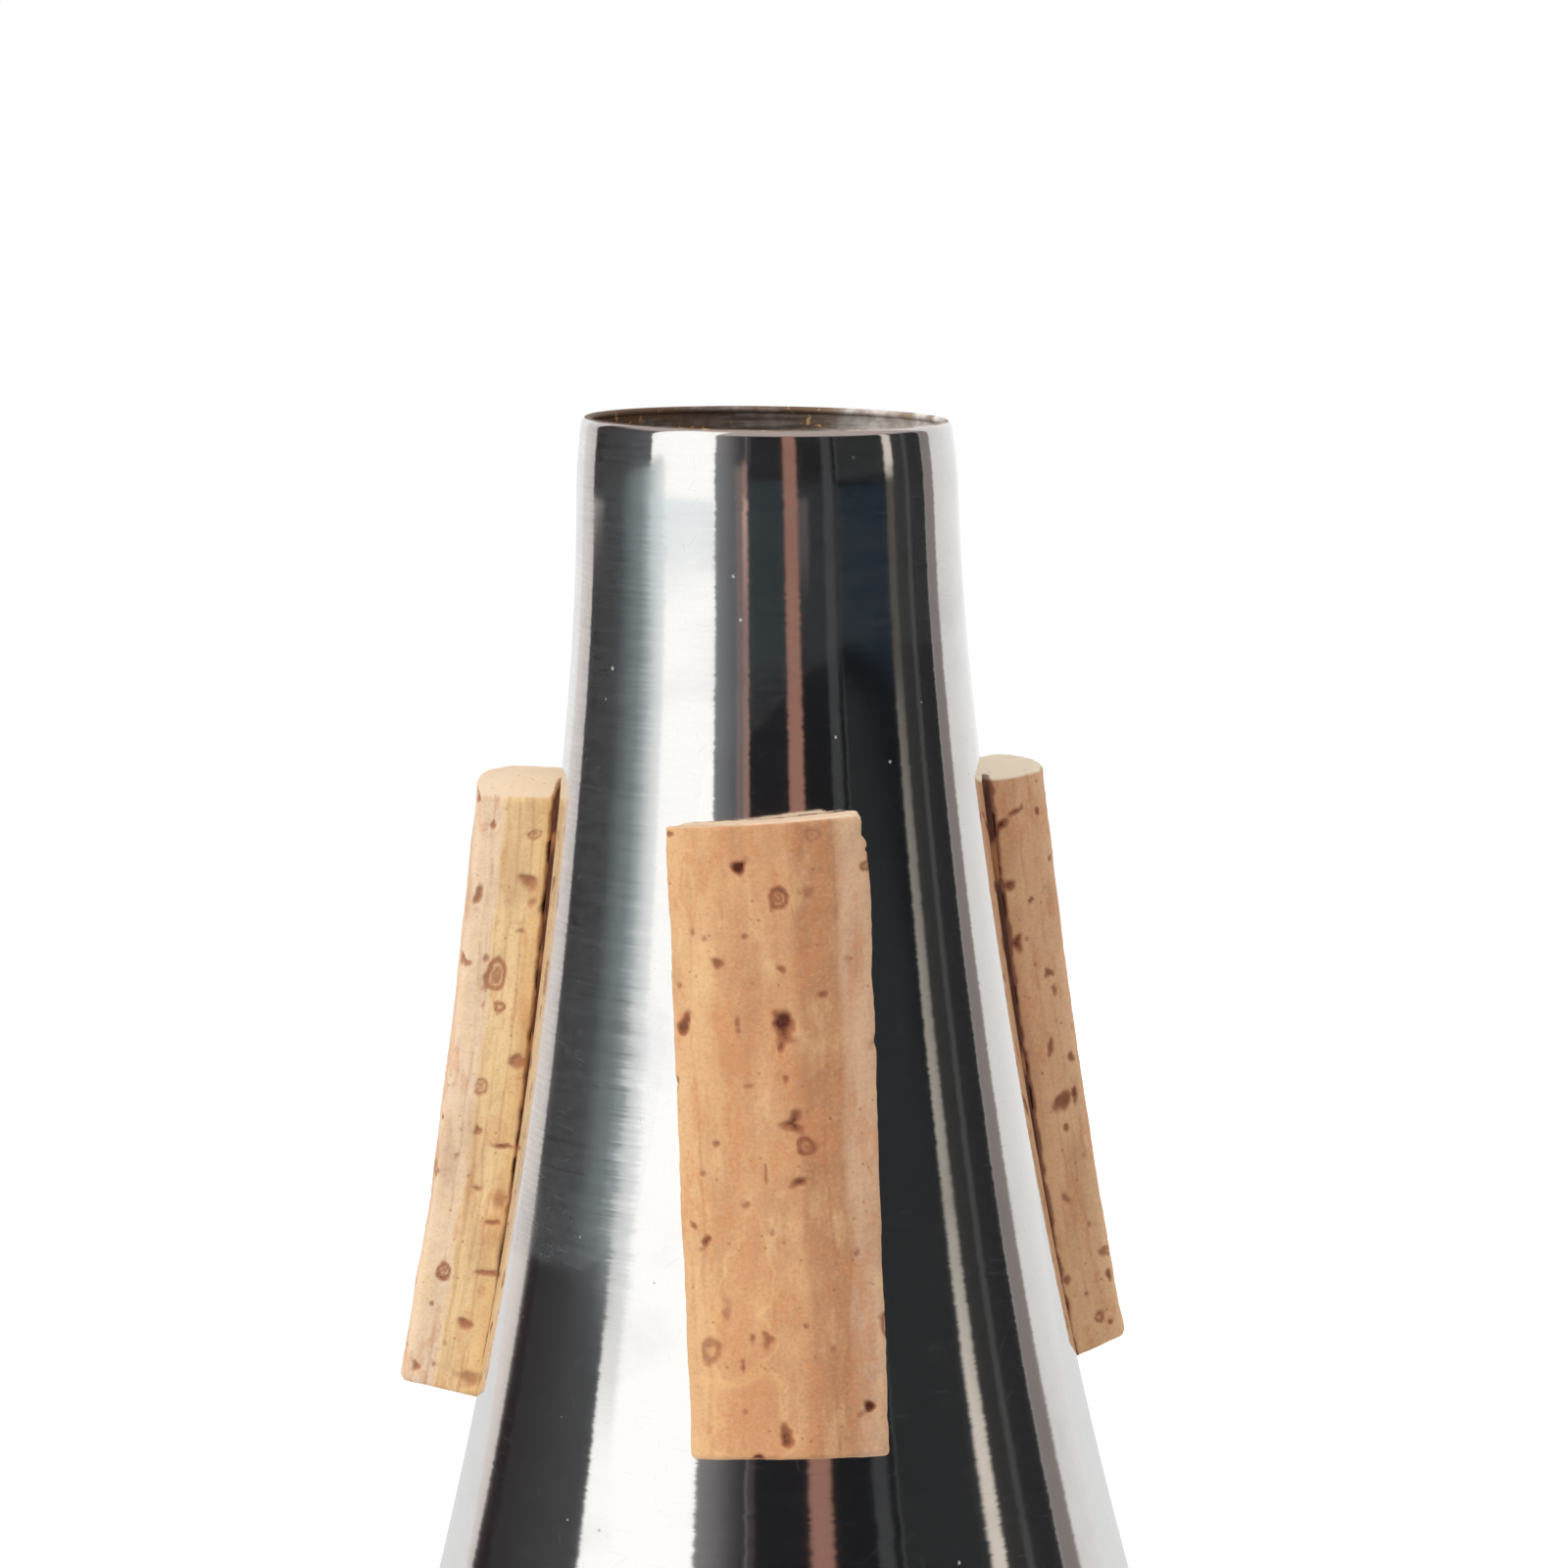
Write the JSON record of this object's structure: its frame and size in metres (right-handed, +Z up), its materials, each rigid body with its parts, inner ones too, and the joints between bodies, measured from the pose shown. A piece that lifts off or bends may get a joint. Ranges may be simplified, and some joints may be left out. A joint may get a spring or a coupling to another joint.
{
  "type": "french horn mute",
  "caption": "Spun metal cone mute for a french horn bell, open at its narrow neck and closed by a rolled-in end cap, with cork strips that grip the bell.",
  "frame": {"origin": "centre of the wide end, on the plane that the mute stands on", "axes": "+Z up along the mute's axis, from the wide end to the open neck; -Y towards the front cork; +X to the right as the front cork is faced"},
  "size_m": [0.1222, 0.1222, 0.2099],
  "materials": {
    "spun_aluminium": "mirror polished, with fine lines from polishing on the lathe",
    "cap_aluminium": "polished, with concentric spinning lines",
    "cork": "natural cork, cut and sanded by hand, with dark pores",
    "glue": "dark brown contact adhesive"
  },
  "bodies": {
    "root": {"body_shell": "spun_aluminium", "end_cap": "cap_aluminium", "cork_front": "cork", "cork_left": "cork", "cork_right": "cork", "glue_front": "glue", "glue_left": "glue", "glue_right": "glue"}
  },
  "joints": []
}
